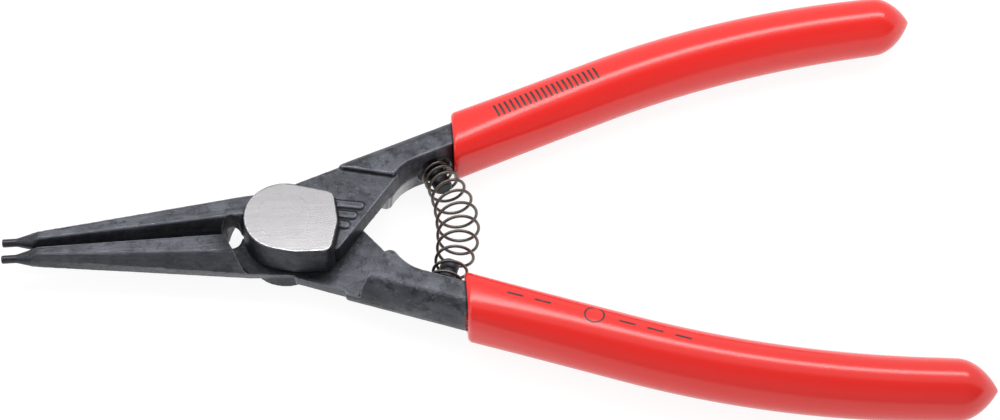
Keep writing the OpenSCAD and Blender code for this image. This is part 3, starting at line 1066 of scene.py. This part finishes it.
class SpringPath:
    """The wire's middle line: a right-hand barrel coil on an arc between the two pegs."""

    def __init__(self):
        spring = settings().spring
        grip = settings().grip
        self.spring = spring
        lean = grip.arm_angle
        wall = EDGE_IN - DRAFT_IN
        wall_x = RIM_X - wall * math.sin(lean)
        wall_y = grip.rim_y + wall * math.cos(lean)
        self.arc_x = wall_x - wall_y / math.tan(lean)
        self.arc_radius = spring.middle_x - spring.bow - self.arc_x
        self.end = lean + (SEAT_DEPTH - spring.wire / 2 - SEAT_PLAY) / self.arc_radius
        self.arc = 2.0 * self.end * self.arc_radius
        self.closed = spring.wire + CLOSED_PLAY
        ramps = (spring.upper_ramp + spring.lower_ramp) / 2
        self.open = self.closed + (self.arc - spring.coils * self.closed) / (spring.coils - ramps)

    def ramped(self, t, ramp):
        """Travel over the first turns from an end, while the pitch opens."""
        return (self.open - self.closed) * t * t / (2.0 * ramp) + self.closed * t

    def travel(self, t):
        """Distance along the arc after a number of turns."""
        spring = self.spring
        if t < spring.lower_ramp:
            return self.ramped(t, spring.lower_ramp)
        if t > spring.coils - spring.upper_ramp:
            return self.arc - self.ramped(spring.coils - t, spring.upper_ramp)
        return self.ramped(spring.lower_ramp, spring.lower_ramp) + (t - spring.lower_ramp) * self.open

    def radius(self, t):
        """The coil's radius, widest in the middle."""
        belly = max(math.sin(math.pi * self.travel(t) / self.arc), 0.0) ** BELLY_POWER
        return self.spring.end_radius + (self.spring.coil_radius - self.spring.end_radius) * belly

    def point(self, t, r):
        """A point at a radius from the coil's axis after a number of turns."""
        u = self.travel(t) / self.arc * 2.0 - 1.0
        f = u * self.end
        w = COIL_TURN - 2.0 * math.pi * t
        middle = max(math.cos(math.pi / 2 * u), 0.0)
        tilt = self.spring.coil_lean * math.sqrt(middle)
        out = self.arc_radius + r * math.cos(w) + self.spring.bow * middle
        lift = r * math.sin(w)
        return np.array([
            self.arc_x + out * math.cos(f) - lift * math.sin(f) * math.sin(tilt),
            out * math.sin(f) + lift * math.cos(f) * math.sin(tilt),
            lift * math.cos(tilt) - PEG_SHIFT * math.sin(math.pi / 2 * u),
        ])

    def middle(self, t):
        return self.point(t, self.radius(t))

    def ring(self, t):
        """Points round the wire after a number of turns."""
        middle = self.middle(t)
        run = self.middle(t + NEARBY) - self.middle(t - NEARBY)
        side = (self.point(t, self.radius(t) + MM) - middle) / MM
        rise = np.cross(run, side)
        rise /= np.linalg.norm(rise)
        half = self.spring.wire / 2
        return [middle + half * (math.cos(a) * side + math.sin(a) * rise)
                for a in full_turn(WIRE_SIDES)]


def make_spring(look):
    path = SpringPath()
    steps = round(settings().spring.coils * TURN_STEPS)
    rings = [path.ring(i / TURN_STEPS) for i in range(steps + 1)]
    points = [(p[0], p[1], p[2] + MID_Z) for ring in rings for p in ring]
    faces = ring_faces(len(rings), WIRE_SIDES, flip=True)
    last = steps * WIRE_SIDES
    faces.append(tuple(range(WIRE_SIDES)))
    faces.append(tuple(range(last, last + WIRE_SIDES))[::-1])
    piece = new_piece("return_spring_wire", points, faces, look)
    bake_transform(piece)
    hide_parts("return_spring")


# Stage

FLOOR_HALF = 3.0
FLOOR_DROP = 0.02 * MM
FLOOR_PLAIN = 0.82
FLOOR_SHADE = 0.16
FLOOR_GLOW = 0.9
WHITE = 1.0
# Room light on dull surfaces
ROOM_LEVEL = 0.6
# What the gloss sees: two places along the world's y, and the light at each
SHINE_BEHIND = (-0.26, -0.06, 0.16, 0.85)
SHINE_FRONT = (-0.5, -1.0, 0.0, 0.3)
# Each lamp's place, aim, size and watts
LAMPS = {
    "softbox_top": ((0.06, 0.08, 0.24), (0.06, 0.08, 0.0), (0.5, 0.06), 0.54),
    "softbox_left": ((-0.55, -0.2, 0.35), (0.035, 0.0, 0.0), (0.35, 0.35), 0.4),
}
IMAGE_WIDTH = 1000
IMAGE_HEIGHT = 420
SENSOR = 36.0
CLIP_START = 0.01


def grey(level):
    return (level, level, level, 1.0)


def floor_material():
    """White for the eye and in reflections, and still darkened by the tool's shadow."""
    made, tree, shader = material("white_floor")
    tree.nodes.remove(shader)
    path = put(tree, "ShaderNodeLightPath").outputs
    mirrored = math_node(tree, "MAXIMUM", path["Is Glossy Ray"], path["Is Transmission Ray"])
    seen = math_node(tree, "MAXIMUM", path["Is Camera Ray"], mirrored)
    plain = put(tree, "ShaderNodeBsdfDiffuse", None, {"Color": grey(FLOOR_PLAIN)}).outputs[0]
    shade = put(tree, "ShaderNodeBsdfDiffuse", None, {"Color": grey(FLOOR_SHADE)}).outputs[0]
    glow = put(tree, "ShaderNodeEmission", None, {
        "Color": grey(WHITE), "Strength": FLOOR_GLOW}).outputs[0]
    white = put(tree, "ShaderNodeAddShader", None, {0: shade, 1: glow}).outputs[0]
    both = put(tree, "ShaderNodeMixShader", None, {0: seen, 1: plain, 2: white}).outputs[0]
    feed(tree, tree.nodes["Material Output"], {"Surface": both})
    return made


def make_floor():
    floor_z = CAD_BOX[0][2] - FLOOR_DROP
    signs = ((-1, -1), (1, -1), (1, 1), (-1, 1))
    corners = [(x * FLOOR_HALF, y * FLOOR_HALF, floor_z) for x, y in signs]
    floor = new_piece("floor", corners, [(0, 1, 2, 3)], floor_material())


def make_world():
    """A white room that dull surfaces see evenly and the gloss sees brighter behind the tool."""
    world = bpy.data.worlds.new("studio")
    bpy.context.scene.world = world
    world.use_nodes = True
    tree = world.node_tree
    tree.nodes.clear()
    path = put(tree, "ShaderNodeLightPath").outputs
    where = put(tree, "ShaderNodeTexCoord").outputs["Generated"]
    y = put(tree, "ShaderNodeSeparateXYZ", None, {0: where}).outputs[1]
    behind = ramp_value(tree, y, *SHINE_BEHIND)
    front = ramp_value(tree, y, *SHINE_FRONT)
    shine = math_node(tree, "ADD", behind, front)
    level = mix_value(tree, path["Is Diffuse Ray"], shine, ROOM_LEVEL)
    room, white = (
        put(tree, "ShaderNodeBackground", None, {"Color": grey(WHITE), "Strength": strength}).outputs[0]
        for strength in (level, WHITE))
    both = put(tree, "ShaderNodeMixShader", None, {0: path["Is Camera Ray"], 1: room, 2: white})
    put(tree, "ShaderNodeOutputWorld", None, {"Surface": both.outputs[0]})


def make_lamp(name, place, aim, size, watts):
    data = bpy.data.lights.new(name, "AREA")
    data.shape = "RECTANGLE"
    data.size, data.size_y = size
    data.energy = watts
    lamp = add_object(name, data)
    lamp.location = place
    lamp.rotation_euler = (Vector(aim) - Vector(place)).to_track_quat("-Z", "Y").to_euler()


def make_camera():
    """Stands the camera so that the rivet falls on its own place in the image."""
    stage = settings().stage
    turn = (Matrix.Rotation(-stage.tilt, 3, "X") @ Matrix.Rotation(stage.yaw, 3, "Y")
            @ Matrix.Rotation(stage.roll, 3, "Z"))
    shift = Vector((
        (stage.pivot_u - IMAGE_WIDTH / 2) / stage.focal * stage.distance,
        -(stage.pivot_v - IMAGE_HEIGHT / 2) / stage.focal * stage.distance,
        -stage.distance,
    ))
    back = turn.transposed()
    data = bpy.data.cameras.new("camera")
    data.sensor_width = SENSOR
    data.lens = stage.focal / IMAGE_WIDTH * SENSOR
    data.clip_start = CLIP_START
    camera = add_object("camera", data)
    camera.matrix_world = Matrix.Translation(PIVOT - back @ shift) @ back.to_4x4()
    bpy.context.scene.camera = camera


# Operators and panel

class PLIERS_OT_stage(bpy.types.Operator):
    """Sets up the camera, the floor and the light"""
    bl_idname = "pliers.stage"
    bl_label = "Stage"

    def execute(self, context):
        context.scene.view_settings.view_transform = "Standard"
        make_camera()
        make_floor()
        make_world()
        for name, lamp in LAMPS.items():
            make_lamp(name, *lamp)
        return {"FINISHED"}


class PLIERS_OT_limbs(bpy.types.Operator):
    """Makes the two forged limbs"""
    bl_idname = "pliers.limbs"
    bl_label = "Limbs"

    def execute(self, context):
        look = forged_material()
        for name in SIDES:
            make_limb(name, look)
        return {"FINISHED"}


class PLIERS_OT_rivet(bpy.types.Operator):
    """Finishes the rivet"""
    bl_idname = "pliers.rivet"
    bl_label = "Rivet"

    def execute(self, context):
        dress(frame["nodes"]["pivot_rivet"].data, ground_material())
        return {"FINISHED"}


class PLIERS_OT_pegs(bpy.types.Operator):
    """Finishes the two spring pegs"""
    bl_idname = "pliers.pegs"
    bl_label = "Spring pegs"

    def execute(self, context):
        look = peg_material()
        for name in SIDES:
            dress(frame["nodes"][f"{name}_spring_peg"].data, look)
        return {"FINISHED"}


class PLIERS_OT_spring(bpy.types.Operator):
    """Winds the return spring"""
    bl_idname = "pliers.spring"
    bl_label = "Return spring"

    def execute(self, context):
        make_spring(wire_material())
        return {"FINISHED"}


class PLIERS_OT_grips(bpy.types.Operator):
    """Dips the two grips"""
    bl_idname = "pliers.grips"
    bl_label = "Grips"

    def execute(self, context):
        for name, (_, side) in SIDES.items():
            make_grip(name, grip_material(name, side))
        return {"FINISHED"}


OPERATORS = (
    PLIERS_OT_stage, PLIERS_OT_limbs, PLIERS_OT_rivet,
    PLIERS_OT_pegs, PLIERS_OT_spring, PLIERS_OT_grips,
)


class PLIERS_PT_panel(bpy.types.Panel):
    """Lists the steps that make the pliers"""
    bl_idname = "PLIERS_PT_panel"
    bl_label = "Circlip pliers"
    bl_space_type = "VIEW_3D"
    bl_region_type = "UI"
    bl_category = "Pliers"

    def draw(self, context):
        for step in OPERATORS:
            self.layout.operator(step.bl_idname)


CLASSES = (
    LimbSettings, GripSettings, SpringSettings, StageSettings, PliersSettings,
    *OPERATORS, PLIERS_PT_panel,
)


def register():
    for item in CLASSES:
        bpy.utils.register_class(item)
    bpy.types.Scene.pliers = PointerProperty(type=PliersSettings)


def unregister():
    del bpy.types.Scene.pliers
    for item in reversed(CLASSES):
        bpy.utils.unregister_class(item)


def main():
    register()
    bpy.ops.pliers.stage()
    bpy.ops.pliers.limbs()
    bpy.ops.pliers.rivet()
    bpy.ops.pliers.pegs()
    bpy.ops.pliers.spring()
    bpy.ops.pliers.grips()
    bpy.context.view_layer.update()


if __name__ == "__main__":
    main()
